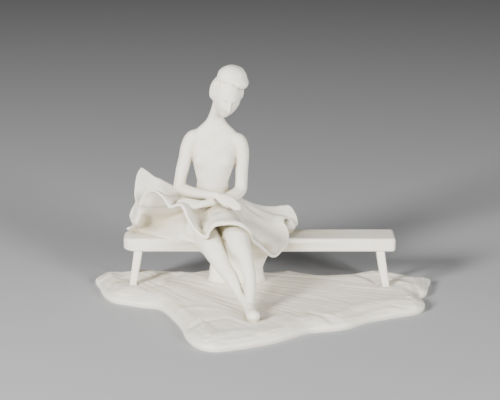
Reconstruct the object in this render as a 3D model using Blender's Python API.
"""Seated ballerina on a bench above a free-edged base, one casting of unglazed porcelain.

Metres, +Z up. The front of the figure looks along -Y, and +X is the viewer's right.
The bench's middle stands over X = 0, Y = 0 while the forms are made, and the finished
casting is then set down with the middle of its box over the origin.
"""

import math

import bmesh
import bpy
from mathutils import Matrix, Vector, noise
from mathutils.kdtree import KDTree

# Driving sizes

FIGURE_STATURE = 0.296
BENCH_LENGTH = 0.2410
BENCH_DEPTH = 0.0330
BENCH_HEIGHT = 0.051
BENCH_THICKNESS = 0.012
BENCH_EDGE_ROUND = 0.0022
BENCH_LEFT_ROUND = 0.0058
BENCH_LEFT_CORNER = 0.010
BENCH_RIGHT_CORNER = 0.003
LEG_TOP_WIDTH = 0.0076
LEG_FOOT_WIDTH = 0.0062
LEG_END_INSET = 0.0135
LEG_SIDE_INSET = 0.0060
LEG_SPLAY_ALONG = 0.0055
LEG_SPLAY_ACROSS = 0.0095
LEG_RIGHT_FRONT_SPLAY = 0.0130
BASE_THICKNESS = 0.0092
BASE_SHOULDER = 0.0125
BASE_LIP = 0.0008
BASE_UNDER_INSET = 0.0011
BASE_WIDEST = 0.34
BASE_STREAK_DEPTH = 0.0012
BASE_END_MARGIN = 0.0311
BASE_SHIFT = 0.0035
BASE_BACK_MARGIN = 0.0190
BASE_FRONT_MARGIN = 0.0480
SKIRT_THICKNESS = 0.0024
SKIRT_BEAD_RADIUS = 0.0014
BLOCK_BACK = 0.009

# How finely the casting is worked

VOXEL = 0.0009
SOFTENING_PASSES = 3
TARGET_TRIANGLES = 9400
FINE_PART_WEIGHT = 1e-7
SUNK = 0.0025

BISQUE_COLOUR = (0.83, 0.80, 0.71, 1.0)
BISQUE_ROUGHNESS = 0.62

# The figure's own unit: at a stature of 0.296 m it is one millimetre

UNIT = FIGURE_STATURE / 296.0
SEAT_X = -0.171 * BENCH_LENGTH
BASE_TOP = BASE_THICKNESS


def seat_point(x, y, z):
    """A place on the figure, in figure units from the middle of the seat."""
    return Vector((SEAT_X + x * UNIT, y * UNIT, BENCH_HEIGHT + z * UNIT))


def leg_point(x, y, share):
    """A place on a leg: share is 0 at the base's top and 1 at the bench's top."""
    height = BASE_TOP + share * (BENCH_HEIGHT - BASE_TOP)
    return Vector((SEAT_X + x * UNIT, y * UNIT, height))


# Curves and skins

def spline(points, t, closed=False):
    """Catmull-Rom value of a list of equal tuples; t runs from 0 to 1 over all of it."""
    count = len(points)
    spans = count if closed else count - 1
    place = max(0.0, min(t, 1.0)) * spans
    start = min(int(place), spans - 1)
    f = place - start

    def at(i):
        return points[i % count] if closed else points[max(0, min(count - 1, i))]

    a, b, c, d = at(start - 1), at(start), at(start + 1), at(start + 2)
    return tuple(
        0.5 * (2 * q + (r - p) * f + (2 * p - 5 * q + 4 * r - s) * f * f
               + (3 * q - p - 3 * r + s) * f ** 3)
        for p, q, r, s in zip(a, b, c, d)
    )


def skin(bm, rings, loop=False):
    """Joins equal rings of points into a closed skin, with a face over each end."""
    rows = [[bm.verts.new(p) for p in ring] for ring in rings]
    count = len(rows[0])
    pairs = list(zip(rows, rows[1:]))
    if loop:
        pairs.append((rows[-1], rows[0]))
    for low, high in pairs:
        for i in range(count):
            j = (i + 1) % count
            bm.faces.new((low[i], low[j], high[j], high[i]))
    if not loop:
        bm.faces.new(list(reversed(rows[0])))
        bm.faces.new(rows[-1])


def limb(bm, stations, sides=16, steps=8, flatten=1.0, flat_axis=None):
    """A rounded limb through stations of (x, y, z, radius), with domed ends.

    flatten squeezes the section along flat_axis, as in a hand or a foot.
    """
    samples = steps * (len(stations) - 1) + 1
    line = [spline(stations, i / (samples - 1)) for i in range(samples)]
    centres = [Vector(p[:3]) for p in line]
    radii = [p[3] for p in line]
    side = flat_axis or Vector((0.31, 0.87, 0.38))
    rings = []
    for i, centre in enumerate(centres):
        ahead = centres[min(i + 1, samples - 1)] - centres[max(i - 1, 0)]
        ahead.normalize()
        u = side - ahead * side.dot(ahead)
        u.normalize()
        v = ahead.cross(u)
        ends = [(0.0, 1.0)]
        if i == 0:
            ends = [(-math.cos(a), math.sin(a)) for a in (0.35, 0.75, 1.15)] + ends
        if i == samples - 1:
            ends += [(math.cos(a), math.sin(a)) for a in (1.15, 0.75, 0.35)]
        for push, share in ends:
            middle = centre + ahead * (push * radii[i] * flatten)
            ring = []
            for k in range(sides):
                a = 2 * math.pi * k / sides
                ring.append(middle + u * (math.cos(a) * radii[i] * share * flatten)
                            + v * (math.sin(a) * radii[i] * share))
            rings.append(ring)
    skin(bm, rings)


def stack(bm, sections, sides=32, steps=4, squareness=2.0):
    """A form built up of level ovals, (x, y, z, half width, half depth) from below."""
    samples = steps * (len(sections) - 1) + 1
    rings = []
    for i in range(samples):
        x, y, z, rx, ry = spline(sections, i / (samples - 1))
        ring = []
        for k in range(sides):
            a = 2 * math.pi * k / sides
            c, s = math.cos(a), math.sin(a)
            grow = (abs(c) ** squareness + abs(s) ** squareness) ** (-1.0 / squareness)
            ring.append(Vector((x + rx * c * grow, y + ry * s * grow, z)))
        rings.append(ring)
    skin(bm, rings)


def oval(bm, centre, radii, turn=None, sides=24, rows=14):
    """An egg shape of three radii, turned by a matrix about its middle."""
    turn = turn or Matrix.Identity(3)
    rings = []
    for i in range(1, rows):
        tilt = math.pi * i / rows
        ring = []
        for k in range(sides):
            a = 2 * math.pi * k / sides
            p = Vector((radii[0] * math.sin(tilt) * math.cos(a),
                        radii[1] * math.sin(tilt) * math.sin(a),
                        -radii[2] * math.cos(tilt)))
            ring.append(centre + turn @ p)
        rings.append(ring)
    skin(bm, rings)


def smooth_step(value, low, high):
    """Rises smoothly from 0 to 1 between low and high."""
    share = max(0.0, min((value - low) / (high - low), 1.0))
    return share * share * (3.0 - 2.0 * share)


def bump(x, z, at_x, at_z, wide, high):
    """A smooth swelling of height 1 around a place."""
    return math.exp(-((x - at_x) / wide) ** 2 - ((z - at_z) / high) ** 2)


# The base

BASE_OUTLINE = (
    # shares of the half width, and of the depth in front of (-1) or behind (+1) the bench
    (-1.00, 0.45), (-0.975, 0.02), (-0.90, -0.22), (-0.75, -0.31), (-0.60, -0.37),
    (-0.515, -0.53), (-0.455, -0.70), (-0.43, -0.82), (-0.37, -0.945), (-0.27, -1.0),
    (-0.13, -0.965), (0.02, -0.90), (0.13, -0.83), (0.25, -0.735), (0.36, -0.705),
    (0.47, -0.665), (0.60, -0.565), (0.75, -0.49), (0.88, -0.43), (0.925, -0.34),
    (0.905, -0.20), (0.965, -0.10), (1.00, 0.35), (0.93, 0.42), (0.80, 0.80),
    (0.66, 0.92), (0.50, 0.62), (0.33, 0.52), (0.17, 0.84), (0.05, 0.80),
    (-0.10, 1.00), (-0.32, 1.00), (-0.46, 0.80), (-0.60, 0.92), (-0.70, 0.98),
    (-0.82, 0.80), (-0.94, 0.80),
)


def base_extents():
    """Half width, front reach and back reach of the base from the bench's middle."""
    half = BENCH_LENGTH / 2 + BASE_END_MARGIN
    front = 121 * UNIT + BASE_FRONT_MARGIN
    back = BENCH_DEPTH / 2 + BASE_BACK_MARGIN
    return half, front, back


def streaks(x, y):
    """Height, from -1 to 1, of the combed streaks that run along the base."""
    fan = y - 0.030 * math.exp(-(x + 0.150) / 0.085)
    broad = noise.noise(Vector((x * 9.0, fan * 75.0, 3.7)))
    fine = noise.noise(Vector((x * 16.0 + 5.0, fan * 170.0, 8.1)))
    return 0.72 * broad + 0.28 * fine


def base_height(inset, around):
    """Height of the base's upper skin, by the distance from its outline and the place around it."""
    turn = 2 * math.pi * around
    width = BASE_SHOULDER * (1.0 + 0.21 * math.sin(5 * turn + 0.7) + 0.13 * math.sin(11 * turn + 2.1))
    share = min(1.0, inset / width)
    rise = BASE_WIDEST + (1.0 - BASE_WIDEST) * (1.0 - (1.0 - share) ** 2) ** (1 / 1.7)
    lip = BASE_LIP * math.exp(-((inset - 1.10 * width) / (0.40 * width)) ** 2)
    return BASE_THICKNESS * rise + lip


def build_base(bm, sides=336):
    """The slab: lobed outline, a soft broad shoulder, a low lip and a streaked top."""
    half, front, back = base_extents()
    outline = []
    for i in range(sides):
        sx, sy = spline(BASE_OUTLINE, i / sides, closed=True)
        depth = front if sy < 0 else back
        outline.append(Vector((BASE_SHIFT + sx * half, sy * depth, 0.0)))
    rings = []
    for share, height in ((1.0, -SUNK), (1.0, 0.03 * BASE_THICKNESS), (0.32, 0.15 * BASE_THICKNESS)):
        ring = []
        for i, p in enumerate(outline):
            ahead = outline[(i + 2) % sides] - outline[i - 2]
            inward = Vector((-ahead.y, ahead.x, 0.0)).normalized()
            ring.append(p + inward * (share * BASE_UNDER_INSET) + Vector((0.0, 0.0, height)))
        rings.append(ring)
    edge = KDTree(sides)
    for i, p in enumerate(outline):
        edge.insert(p, i)
    edge.balance()
    middle = Vector((BASE_SHIFT, -0.30 * front, 0.0))
    shares = [1.0 - 0.16 * (k / 16) ** 1.15 for k in range(17)]
    shares += [0.815 * (1.0 - k / 34) + 0.012 for k in range(34)]
    for share in shares:
        ring = []
        for p in outline:
            q = middle + (p - middle) * share
            _, nearest, inset = edge.find(q)
            combed = BASE_STREAK_DEPTH * streaks(q.x, q.y) * smooth_step(inset, 0.009, 0.017)
            ring.append(Vector((q.x, q.y, base_height(inset, nearest / sides) + combed)))
        rings.append(ring)
    skin(bm, rings)


# The bench

def bench_ring(inset_share, height):
    """Outline of the seat at one height; inset_share is 0 at its fullest and 1 at its edge."""
    half_l, half_d = BENCH_LENGTH / 2, BENCH_DEPTH / 2
    corners = (
        (half_l, -half_d, BENCH_RIGHT_CORNER, -90), (half_l, half_d, BENCH_RIGHT_CORNER, 0),
        (-half_l, half_d, BENCH_LEFT_CORNER, 90), (-half_l, -half_d, BENCH_LEFT_CORNER, 180),
    )
    ring = []
    for cx, cy, radius, start in corners:
        mx = cx - math.copysign(radius, cx)
        my = cy - math.copysign(radius, cy)
        for k in range(9):
            a = math.radians(start + 90 * k / 8)
            n = Vector((math.cos(a), math.sin(a), 0.0))
            leftward = max(0.0, -n.x)
            rounding = BENCH_EDGE_ROUND + (BENCH_LEFT_ROUND - BENCH_EDGE_ROUND) * leftward
            p = Vector((mx, my, 0.0)) + n * (radius - rounding * inset_share)
            ring.append(Vector((p.x, p.y, height)))
    return ring


def build_bench(bm):
    """The seat, with one full round end, and its four splayed legs."""
    r = BENCH_EDGE_ROUND
    under = BENCH_HEIGHT - BENCH_THICKNESS
    rings = []
    for a in (0, 22, 45, 67, 90):
        t = math.radians(a)
        rings.append(bench_ring(1 - math.sin(t), under + r * (1 - math.cos(t))))
    for a in (90, 67, 45, 22, 0):
        t = math.radians(a)
        rings.append(bench_ring(1 - math.sin(t), BENCH_HEIGHT - r * (1 - math.cos(t))))
    skin(bm, rings)
    for along in (-1, 1):
        for across in (-1, 1):
            top_x = along * (BENCH_LENGTH / 2 - LEG_END_INSET)
            top_y = across * (BENCH_DEPTH / 2 - LEG_SIDE_INSET)
            foot_x = top_x + along * LEG_SPLAY_ALONG
            right_front = along > 0 > across
            foot_y = top_y + across * (LEG_RIGHT_FRONT_SPLAY if right_front else LEG_SPLAY_ACROSS)
            sections = (
                (foot_x, foot_y, BASE_TOP - SUNK, LEG_FOOT_WIDTH / 2, LEG_FOOT_WIDTH / 2),
                (top_x, top_y, under + SUNK, LEG_TOP_WIDTH / 2, LEG_TOP_WIDTH / 2),
            )
            stack(bm, sections, sides=16, steps=6, squareness=6.0)


def build_block(bm):
    """The mass that carries the seat: it falls from the lap and narrows to the base."""
    sections = []
    for left, right, front, share in (
        (-8, 50, -20, -0.10), (-4, 46, -17, 0.06), (-3, 44.5, -16, 0.28), (-2.5, 46, -17, 0.40),
        (-7, 49, -20, 0.57), (-13, 54, -25, 0.72), (-17.5, 56, -29, 0.86), (-21, 52, -32, 1.02),
        (-24, 46, -33, 1.16), (-23, 40, -30, 1.30), (-17, 32, -24, 1.40), (-8, 22, -14, 1.45),
    ):
        place = leg_point((left + right) / 2, 0, share)
        depth = (BLOCK_BACK - front * UNIT) / 2
        sections.append((place.x, BLOCK_BACK - depth, place.z, (right - left) / 2 * UNIT, depth))
    stack(bm, sections, squareness=2.4)


# The figure

def figure_stack(bm, sections, **options):
    """A stack whose sections are in figure units from the seat."""
    placed = []
    for x, y, z, rx, ry in sections:
        p = seat_point(x, y, z)
        placed.append((p.x, p.y, p.z, rx * UNIT, ry * UNIT))
    stack(bm, placed, **options)


def figure_limb(bm, stations, **options):
    """A limb whose stations are in figure units from the seat."""
    placed = []
    for x, y, z, radius in stations:
        p = seat_point(x, y, z)
        placed.append((p.x, p.y, p.z, radius * UNIT))
    limb(bm, placed, **options)


def build_torso(bm):
    """Hips, waist, chest, shoulders and neck."""
    figure_stack(bm, (
        (1, -2, -2, 22, 17), (1, -3, 8, 24, 17.5), (0, -2, 20, 21.5, 15), (-0.3, 0, 32, 16.5, 11.5),
        (-0.5, 0.5, 42, 14.3, 10.2), (0, 0.5, 49, 13.9, 10.0), (0.6, 0, 57, 16.0, 11.3),
        (1.2, -0.8, 66, 18.6, 12.6), (1.6, -0.6, 76, 19.8, 12.0), (1.9, 0.6, 85, 20.5, 10.2),
        (2.0, 1.2, 91, 19.8, 8.2), (2.0, 1.2, 95, 17.0, 7.2), (2.2, 0.8, 99, 12.8, 6.4),
        (2.6, 0.2, 103, 9.0, 6.0), (3.0, -0.9, 107, 6.9, 5.9), (4.0, -2.6, 112, 6.0, 5.9),
        (5.8, -5.0, 118, 6.0, 6.0), (7.4, -7.5, 124, 6.2, 6.2),
    ))
    for x in (-7.2, 9.4):
        oval(bm, seat_point(x, -6.9, 69.5), (8.8 * UNIT, 6.2 * UNIT, 8.8 * UNIT))


def build_hand(bm, wrist, knuckles, tips, lap, half_width, thickness):
    """A relaxed hand lying on the lap: palm, four fingers side by side and a thumb.

    wrist, knuckles and tips are places in figure units; lap points out of the surface below.
    """
    w, k, t = Vector(wrist), Vector(knuckles), Vector(tips)
    along = (t - w).normalized()
    across = Vector(lap).cross(along).normalized()
    up = along.cross(across).normalized()
    flat = thickness / (2 * half_width)
    palm = [(*w, half_width * 0.62), (*w.lerp(k, 0.4), half_width * 0.88), (*k, half_width * 0.95),
            (*k.lerp(t, 0.15), half_width * 0.86)]
    figure_limb(bm, palm, flatten=flat, flat_axis=up, steps=6)
    finger = half_width * 0.29
    for side, length in ((-0.72, 0.80), (-0.25, 0.96), (0.23, 1.0), (0.70, 0.90)):
        root = k + across * (side * half_width)
        tip = root + (t - k) * length - across * (side * 0.10 * half_width)
        joint = root.lerp(tip, 0.5) + up * 0.6
        stations = [(*root, finger * 1.12), (*joint, finger * 1.02), (*(tip - up * 0.5), finger * 0.80)]
        figure_limb(bm, stations, sides=10, steps=5)
    root = w.lerp(k, 0.35) - across * (half_width * 0.7)
    joint = w.lerp(k, 0.95) - across * (half_width * 1.30) - up * 0.8
    tip = k.lerp(t, 0.45) - across * (half_width * 1.22) - up * 1.4
    stations = [(*root, finger * 1.35), (*joint, finger * 1.15), (*tip, finger * 0.85)]
    figure_limb(bm, stations, sides=10, steps=5)


def build_arms(bm):
    """Both arms: the right forearm lies over the left one across the lap."""
    figure_limb(bm, (
        (-13.5, 1, 89.4, 6.2), (-17.8, 0.2, 87.6, 6.6), (-21.6, -0.6, 80.5, 6.4), (-24.0, -1.4, 70, 6.0),
        (-26.8, -2.4, 60, 5.6), (-28.6, -3.6, 51, 5.2), (-28.6, -6.0, 44.4, 5.6),
        (-20.5, -14.5, 42.6, 5.3), (-10, -23, 42.8, 4.6), (-1.5, -29.5, 43.9, 3.7), (4.5, -33, 44.6, 3.3),
    ))
    figure_limb(bm, (
        (17, 1, 86.0, 6.6), (22.6, 0.2, 85.0, 6.8), (25.6, -0.6, 78, 6.4), (26.0, -1.4, 69, 6.0),
        (25.6, -2.4, 59, 5.6), (25.4, -3.6, 50, 5.4), (23.8, -7.0, 41.5, 5.6),
        (15.0, -17.5, 38.6, 4.8), (6.0, -26.5, 37.6, 4.1), (-3.0, -32.0, 37.2, 3.5), (-9.0, -34.5, 36.8, 3.3),
    ))
    build_hand(bm, (4.0, -33.0, 44.2), (13.5, -37.8, 41.0), (26.4, -43.5, 33.4),
               (0.20, -0.78, 0.58), 5.2, 5.0)
    build_hand(bm, (-8.5, -34.5, 36.9), (-17.5, -36.2, 37.4), (-31.5, -32.5, 38.8),
               (-0.05, -0.66, 0.72), 4.9, 4.8)


def figure_leg(bm, stations, **options):
    """A leg whose stations are (x, y, share of the seat's height, radius)."""
    placed = []
    for x, y, share, radius in stations:
        p = leg_point(x, y, share)
        placed.append((p.x, p.y, p.z, radius * UNIT))
    limb(bm, placed, **options)


def build_legs(bm):
    """Thighs, shins and feet; the right ankle crosses in front of the left."""
    figure_leg(bm, (
        (8, 0, 1.25, 13.0), (12, -20, 1.33, 12.5), (17, -40, 1.36, 11.2), (21, -56, 1.36, 10.3),
        (24.2, -66, 1.20, 9.6), (28.5, -72, 1.00, 7.2), (29.6, -77, 0.84, 7.4), (32.2, -84, 0.64, 6.1),
        (33.0, -91, 0.46, 5.2), (33.0, -97, 0.32, 4.5), (33.0, -103, 0.20, 4.2), (32.8, -110, 0.09, 3.8),
    ))
    figure_leg(bm, (
        (-8, 0, 1.22, 13.0), (-6, -20, 1.25, 12.5), (-3.5, -38, 1.22, 11.5), (0.0, -53, 1.14, 10.5),
        (4.8, -62, 0.97, 9.2), (10.0, -69, 0.80, 7.4), (17.2, -76, 0.62, 7.1), (21.6, -83, 0.45, 5.1),
        (25.0, -90, 0.32, 3.8), (29.6, -98, 0.23, 4.1), (33.2, -106, 0.165, 4.7), (34.8, -113, 0.12, 5.3),
        (35.6, -118.0, 0.115, 5.8), (35.9, -120.5, 0.12, 5.6),
    ))


# The skirt

SKIRT_WAIST = (0.0, -1.0, 41.0, 14.5, 10.5)
SKIRT_HEM = (
    # waist angle in degrees, and the hem's place in figure units from the seat
    (-92, 11.0, -67.0, 28.8), (-99, 3.5, -66.0, 26.6), (-104, 0.0, -64.5, 21.0),
    (-110, -4.5, -63.0, 15.6), (-117, -11.5, -60.5, 18.8), (-124, -18.5, -55.0, 26.5),
    (-131, -24.5, -46.5, 36.6), (-137, -30.0, -41.0, 37.6), (-143, -37.0, -37.0, 34.5),
    (-150, -42.5, -33.0, 42.0), (-157, -51.0, -28.5, 47.6), (-164, -59.5, -24.0, 43.8),
    (-170, -65.0, -18.0, 31.0), (-176, -68.2, -8.0, 32.5), (-182, -69.2, 3.0, 40.0),
    (-189, -67.3, 14.5, 50.5), (-196, -62.8, 20.5, 55.0), (-203, -65.8, 25.0, 40.0),
    (-209, -70.0, 21.5, 23.5), (-215, -74.0, 14.0, 13.0), (-221, -71.0, 8.0, 5.8),
    (-228, -77.0, 6.0, 1.0), (-240, -60.0, 21.0, -3.0), (-252, -32.0, 25.0, -8.5),
    (-264, -12.0, 29.0, -11.0), (-276, 6.0, 25.0, -9.0), (-288, 22.0, 29.0, -6.0),
    (-300, 40.0, 25.0, 0.0), (-310, 54.0, 24.0, 10.0), (-318, 65.5, 20.0, 21.0),
    (-325, 73.2, 16.0, 13.5), (-331, 74.6, 12.0, 4.5), (-337, 71.0, 6.0, 8.5),
    (-343, 64.0, 0.5, 14.0), (-349, 61.8, -5.0, 12.0), (-355, 66.0, -11.0, 6.5),
    (-362, 65.5, -18.5, -4.0), (-370, 58.5, -26.0, -10.0), (-378, 52.5, -32.5, -12.5),
    (-390, 44.0, -44.0, -1.0), (-404, 34.5, -56.0, 10.5), (-418, 33.0, -61.5, 19.8),
    (-430, 26.0, -66.0, 26.5), (-442, 18.5, -67.5, 29.0),
)


SKIRT_FOLDS = (
    # hem point and depth where a fold starts, the same where it ends, half width and height
    (32.3, 0.22, 32.7, 0.95, 0.8, -2.0), (33.9, 0.30, 34.0, 0.90, 0.9, 1.1),
    (37.2, 0.35, 36.6, 1.00, 0.9, -2.2), (38.4, 0.45, 38.0, 1.00, 0.9, 1.2),
    (40.6, 0.45, 39.3, 0.98, 0.8, -2.6), (43.0, 0.55, 46.2, 0.86, 1.1, -2.2),
    (2.9, 0.60, 2.1, 1.00, 0.6, -3.2), (3.9, 0.55, 3.4, 1.00, 0.7, 1.1),
    (6.6, 0.45, 6.4, 0.93, 1.9, -2.2), (13.2, 0.35, 13.0, 1.00, 0.9, -1.6),
    (16.0, 0.70, 16.0, 1.05, 0.9, 1.5), (17.6, 0.35, 17.8, 1.00, 0.7, -1.8),
    (19.2, 0.40, 19.0, 1.00, 0.8, 1.4), (22.0, 0.30, 22.2, 1.00, 0.7, -2.0),
    (23.3, 0.30, 23.6, 1.00, 0.6, 1.6), (24.6, 0.20, 24.4, 1.00, 0.6, -1.8),
    (26.0, 0.30, 25.8, 1.00, 0.7, 1.5), (27.2, 0.25, 27.4, 1.00, 0.6, -1.8),
    (28.7, 0.35, 28.8, 1.00, 0.7, 1.2),
)
FILL_LEFT = -68.0
FILL_BACK = 17.0
FILL_HOLLOW = 10.5
FILL_DIP = 12.6


def skirt_place(u, v):
    """A place on the skirt's middle: u runs once around, v from the waist to the hem."""
    count = len(SKIRT_HEM)
    place = (u % 1.0) * count
    start = int(place)
    window = []
    for k in range(start - 1, start + 3):
        a, x, y, z = SKIRT_HEM[k % count]
        window.append((a - 360.0 * (k // count), x, y, z))
    angle, hx, hy, hz = spline(window, (1.0 + place - start) / 3.0)
    cx, cy, cz, rx, ry = SKIRT_WAIST
    a = math.radians(angle)
    wx, wy = cx + rx * math.cos(a), cy + ry * math.sin(a)
    frontness = max(0.0, -math.sin(a))
    sag = -7.0 + 3.0 * frontness ** 2
    w = v ** 0.85
    droop = sag * 4.0 * w * (1.0 - w)
    return seat_point(wx + (hx - wx) * v, wy + (hy - wy) * v, cz + (hz - cz) * v + droop)


def skirt_relief(u, v):
    """How far the folds lift a place of the skirt, in figure units."""
    count = len(SKIRT_HEM)
    lift = 0.42 * math.sin(18 * math.pi * u + 1.3) * math.sin(math.pi * v) ** 2
    for first_hem, first_depth, last_hem, last_depth, width, height in SKIRT_FOLDS:
        share = (v - first_depth) / (last_depth - first_depth)
        gap = (u % 1.0) * count - first_hem - (last_hem - first_hem) * max(0.0, min(share, 1.0))
        gap = (gap + count / 2) % count - count / 2
        fade = smooth_step(share, -0.12, 0.25) * (1.0 - smooth_step(share, 0.92, 1.25))
        lift += height * fade * math.exp(-(gap / width) ** 2)
    return lift


def offset_sheet(grid, lift):
    """The grid's places moved along its outward side by lift(column, row)."""
    columns, rows = len(grid), len(grid[0]) - 1
    moved = []
    for i in range(columns):
        line = []
        for j in range(rows + 1):
            across = grid[(i + 1) % columns][j] - grid[i - 1][j]
            down = grid[i][min(j + 1, rows)] - grid[i][max(j - 1, 0)]
            line.append(grid[i][j] + down.cross(across).normalized() * lift(i, j))
        moved.append(line)
    return moved


def build_skirt(bm, columns=264, rows=26):
    """A thick sheet with folds from the waist to the wavy hem, and the bead along the hem."""
    half = SKIRT_THICKNESS / 2
    grid = [[skirt_place(i / columns, j / rows) for j in range(rows + 1)] for i in range(columns)]
    grid = offset_sheet(grid, lambda i, j: UNIT * skirt_relief(i / columns, j / rows))
    outer = offset_sheet(grid, lambda i, j: half)
    inner = offset_sheet(grid, lambda i, j: -half)
    levels = [[line[j] for line in outer] for j in range(rows + 1)]
    levels += [[line[j] for line in inner] for j in range(rows, -1, -1)]
    skin(bm, levels, loop=True)
    bead = []
    for i in range(columns):
        ahead = (grid[(i + 1) % columns][rows] - grid[i - 1][rows]).normalized()
        back = grid[i][rows - 1] - grid[i][rows]
        u = (back - ahead * back.dot(ahead)).normalized()
        v = ahead.cross(u)
        middle = grid[i][rows]
        bead.append([middle + (u * math.cos(t) + v * math.sin(t)) * SKIRT_BEAD_RADIUS
                     for t in (2 * math.pi * k / 10 for k in range(10))])
    skin(bm, bead, loop=True)


def fill_front(x, z, top_y, top_z):
    """Where the clay under the raised side ends in front, by the place along the bench and the height.

    It meets the skirt at top_y and top_z. A full puff, a hollow and a ramp run softly into each other.
    """
    hollow = -FILL_HOLLOW + (FILL_HOLLOW - top_y) * smooth_step(z, 0.35 * top_z, top_z)
    puff = -12.0 + 24.0 * bump(x, z, -69.5, 18.0, 9.0, 16.0)
    reach = 10.0 + 18.0 * smooth_step(x, -64.0, -36.0) + 10.0 * smooth_step(x, -32.0, -12.0)
    height = 4.0 + 10.0 * smooth_step(x, -52.0, -24.0)
    ramp = -12.0 + reach * math.exp(-(max(z, 0.0) / height) ** 2)
    softness = 2.6
    return -softness * math.log(sum(math.exp(part / softness) for part in (hollow, puff, ramp)))


def build_fill(bm, columns=64, rows=34):
    """The clay inside the skirt's raised side, between its puffed end and the thigh."""
    dip = []
    for k in range(60):
        p = (skirt_place(FILL_DIP / len(SKIRT_HEM), 0.05 + 0.95 * k / 59) - seat_point(0, 0, 0)) / UNIT
        dip.append(p)
    rings = []
    for j in range(rows + 1):
        step = j / rows
        left = FILL_LEFT - 6.5 * math.exp(-((36.0 * step - 13.0) / 9.0) ** 2)
        front, back = [], []
        for k in range(columns + 1):
            share = k / columns
            x = left + (-4.0 - left) * share
            top = min(dip, key=lambda p: abs(p.x - x))
            z = -1.5 + (top.z + 1.5) * step
            near_left = min(1.0, (x - left) / 11.0)
            end = math.sqrt(1 - (1 - near_left) ** 2) * min(1.0, (1 - share) / 0.05) ** 0.5
            y = FILL_BACK + (fill_front(x, z, top.y - 1.0, top.z) - FILL_BACK) * end
            front.append(seat_point(x, y, z))
            back.append(seat_point(x, FILL_BACK, z))
        rings.append(front + back[::-1])
    skin(bm, rings)
    oval(bm, seat_point(66.0, 12.0, 4.0), (7.5 * UNIT, 8.0 * UNIT, 7.0 * UNIT))


# The head, in its own frame: the face looks along -Y, and the middle is between the ears

HEAD_PLACE = (12.6, -12.5, 127.5)
HEAD_PITCH = 14.0
HEAD_YAW = 16.0
HEAD_LEAN = 9.0
HEAD_HALF_HEIGHT = 18.6


def head_matrix():
    """How the head is turned: bowed forwards, turned to the viewer's right and leaning."""
    pitch = Matrix.Rotation(math.radians(HEAD_PITCH), 3, "X")
    yaw = Matrix.Rotation(math.radians(HEAD_YAW), 3, "Z")
    lean = Matrix.Rotation(math.radians(HEAD_LEAN), 3, "Y")
    return lean @ yaw @ pitch


def face_relief(x, z):
    """How far the face stands out, in figure units, at a place on its front."""
    side = abs(x)
    rise = 0.45 * bump(side, z, 4.6, 3.0, 3.0, 1.2)
    rise -= 1.55 * bump(side, z, 4.9, -0.3, 2.7, 1.8)
    rise += 1.05 * bump(side, z, 4.9, -0.9, 1.9, 1.25)
    bridge = max(0.0, min(1.0, (2.4 - z) / 8.6))
    under = 1.0 / (1.0 + math.exp(-(z + 7.6) * 3.2))
    rise += (0.9 + 2.9 * bridge) * math.exp(-(x / (1.15 + 0.6 * bridge)) ** 2) * under \
        * (1.0 / (1.0 + math.exp((z - 3.0) * 1.2)))
    rise += 0.9 * bump(side, z, 1.75, -6.9, 0.9, 0.9)
    rise += 0.75 * bump(x, z, 0.0, -10.3, 2.9, 0.8) + 0.85 * bump(x, z, 0.0, -12.1, 2.3, 0.9)
    rise -= 0.55 * bump(x, z, 0.0, -11.15, 3.4, 0.32)
    rise -= 0.45 * bump(x, z, 0.0, -13.6, 2.6, 0.8)
    rise += 0.85 * bump(x, z, 0.0, -15.7, 2.8, 1.7)
    rise += 0.55 * bump(side, z, 6.0, -5.0, 3.2, 3.4)
    return rise


def head_place(lon, lat):
    """A place on the bare head: lon from the face, lat from the chin to the crown."""
    z = HEAD_HALF_HEIGHT * math.sin(lat)
    level = math.cos(lat)
    x = math.sin(lon) * level
    y = -math.cos(lon) * level
    if z < 0:
        depth = -z / HEAD_HALF_HEIGHT
        taper = 1.0 - 0.34 * depth ** 1.5
        jaw = 1.0 - 0.30 * depth ** 2 if y > 0 else 1.0
    else:
        taper, jaw = 1.0, 1.0
    x *= 12.2 * taper
    y = y * (15.6 if y > 0 else 14.6) * jaw
    if y < 0:
        y -= face_relief(x, z) * min(1.0, -y / 9.0)
    if z < -4 and y > 0:
        z = -4 + (z + 4) * 0.45
    return Vector((x, y, z))


def build_head(bm, columns=72, rows=56):
    """The bare head, the combed hair and the bun on the crown, with its roll."""
    turn = head_matrix()
    centre = seat_point(*HEAD_PLACE)

    def put(p):
        return centre + turn @ (p * UNIT)

    rings = []
    for j in range(1, rows):
        lat = -math.pi / 2 + math.pi * j / rows
        rings.append([put(head_place(2 * math.pi * i / columns, lat)) for i in range(columns)])
    skin(bm, rings)
    rings = []
    for j in range(1, 30):
        lat = -math.pi / 2 + math.pi * j / 30
        ring = []
        for i in range(columns):
            lon = 2 * math.pi * i / columns
            n = Vector((math.sin(lon) * math.cos(lat), -math.cos(lon) * math.cos(lat), math.sin(lat)))
            wave = 0.55 * math.cos(15 * lon + 3 * math.sin(2 * lat))
            p = Vector((0, 3.2, 3.6)) + Vector((n.x * 14.3, n.y * 14.4, n.z * 15.6)) + n * wave
            ring.append(put(p))
        rings.append(ring)
    skin(bm, rings)
    bun_turn = turn @ Matrix.Rotation(math.radians(6), 3, "Y")
    oval(bm, put(Vector((1.7, 2.6, 18.6))), (13.2 * UNIT, 11.3 * UNIT, 9.4 * UNIT), bun_turn)
    roll = ((5.0, -7.4, 16.4, 3.2), (9.4, -4.8, 15.4, 4.4), (11.9, 0.0, 15.4, 4.5), (11.8, 5.5, 16.6, 3.6))
    limb(bm, [(*put(Vector((x, y, z))), radius * UNIT) for x, y, z, radius in roll], sides=14, steps=5)


# The casting

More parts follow.
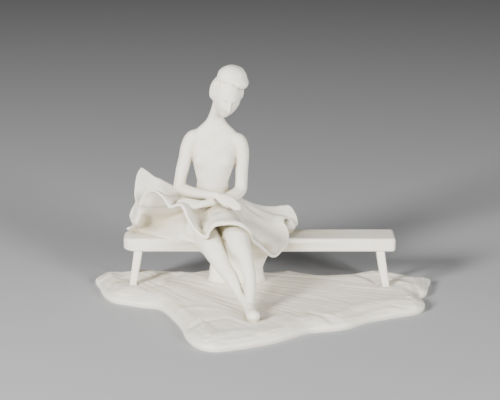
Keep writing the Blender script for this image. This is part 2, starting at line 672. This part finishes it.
def bisque():
    """Unglazed ivory-white porcelain."""
    material = bpy.data.materials.new("bisque_porcelain")
    material.use_nodes = True
    shader = material.node_tree.nodes["Principled BSDF"]
    shader.inputs["Base Color"].default_value = BISQUE_COLOUR
    shader.inputs["Roughness"].default_value = BISQUE_ROUGHNESS
    shader.inputs["Metallic"].default_value = 0.0
    return material


def evaluated_mesh(obj):
    """The object's mesh as its modifiers leave it."""
    graph = bpy.context.evaluated_depsgraph_get()
    return bpy.data.meshes.new_from_object(obj.evaluated_get(graph))


def fine_parts(mesh):
    """Which points of the dense skin keep more faces: the head's, and the hands'."""
    chin = seat_point(0, 0, 106).z
    hands = (seat_point(17, -39, 39), seat_point(-20, -35, 38))
    reach = 15 * UNIT
    for vert in mesh.vertices:
        if vert.co.z > chin:
            yield vert.index, 0.9
        elif min((vert.co - hand).length for hand in hands) < reach:
            yield vert.index, 0.5


def fuse(source):
    """Joins the overlapping forms into one skin, softens it and thins its faces."""
    obj = bpy.data.objects.new("casting_in_work", source)
    bpy.context.collection.objects.link(obj)
    remesh = obj.modifiers.new("one_skin", "REMESH")
    remesh.mode = "VOXEL"
    remesh.voxel_size = VOXEL
    smooth = obj.modifiers.new("soft_joins", "SMOOTH")
    smooth.factor = 0.5
    smooth.iterations = SOFTENING_PASSES
    bpy.context.view_layer.update()
    dense = evaluated_mesh(obj)
    obj.modifiers.clear()
    obj.data = dense
    share = TARGET_TRIANGLES / (2.0 * len(dense.polygons))
    keep = obj.vertex_groups.new(name="fine_parts")
    for index, weight in fine_parts(dense):
        keep.add([index], weight, "REPLACE")
    thin = obj.modifiers.new("fewer_faces", "DECIMATE")
    thin.ratio = min(1.0, share)
    thin.vertex_group = keep.name
    thin.invert_vertex_group = True
    thin.vertex_group_factor = FINE_PART_WEIGHT
    bpy.context.view_layer.update()
    mesh = evaluated_mesh(obj)
    bpy.data.objects.remove(obj)
    return mesh


def cut_flat(mesh):
    """Cuts the underside level at Z = 0 and closes it with one flat face."""
    bm = bmesh.new()
    bm.from_mesh(mesh)
    everything = bm.verts[:] + bm.edges[:] + bm.faces[:]
    cut = bmesh.ops.bisect_plane(bm, geom=everything, dist=1e-7, plane_co=(0, 0, 0),
                                 plane_no=(0, 0, -1), clear_outer=True)
    rim = [e for e in cut["geom_cut"] if isinstance(e, bmesh.types.BMEdge)]
    bmesh.ops.holes_fill(bm, edges=rim, sides=0)
    for vert in bm.verts:
        if abs(vert.co.z) < 2e-6:
            vert.co.z = 0.0
    bmesh.ops.triangulate(bm, faces=bm.faces[:])
    return bm


def centre_over_origin(bm):
    """Moves the casting so that the middle of its box stands over the origin."""
    xs = [v.co.x for v in bm.verts]
    ys = [v.co.y for v in bm.verts]
    shift = Vector((-(min(xs) + max(xs)) / 2, -(min(ys) + max(ys)) / 2, 0.0))
    bmesh.ops.translate(bm, verts=bm.verts[:], vec=shift)


def main():
    """Models the figurine."""
    for obj in list(bpy.data.objects):
        bpy.data.objects.remove(obj)
    bm = bmesh.new()
    build_base(bm)
    build_bench(bm)
    build_block(bm)
    build_legs(bm)
    build_torso(bm)
    build_arms(bm)
    build_skirt(bm)
    build_fill(bm)
    build_head(bm)
    bmesh.ops.recalc_face_normals(bm, faces=bm.faces[:])
    forms = bpy.data.meshes.new("forms")
    bm.to_mesh(forms)
    bm.free()
    bm = cut_flat(fuse(forms))
    centre_over_origin(bm)
    mesh = bpy.data.meshes.new("ballerina_figurine")
    bm.to_mesh(mesh)
    bm.free()
    mesh.materials.append(bisque())
    figurine = bpy.data.objects.new("ballerina_figurine", mesh)
    bpy.context.collection.objects.link(figurine)
    mesh.shade_smooth()
    mesh.set_sharp_from_angle(angle=math.radians(50))


main()
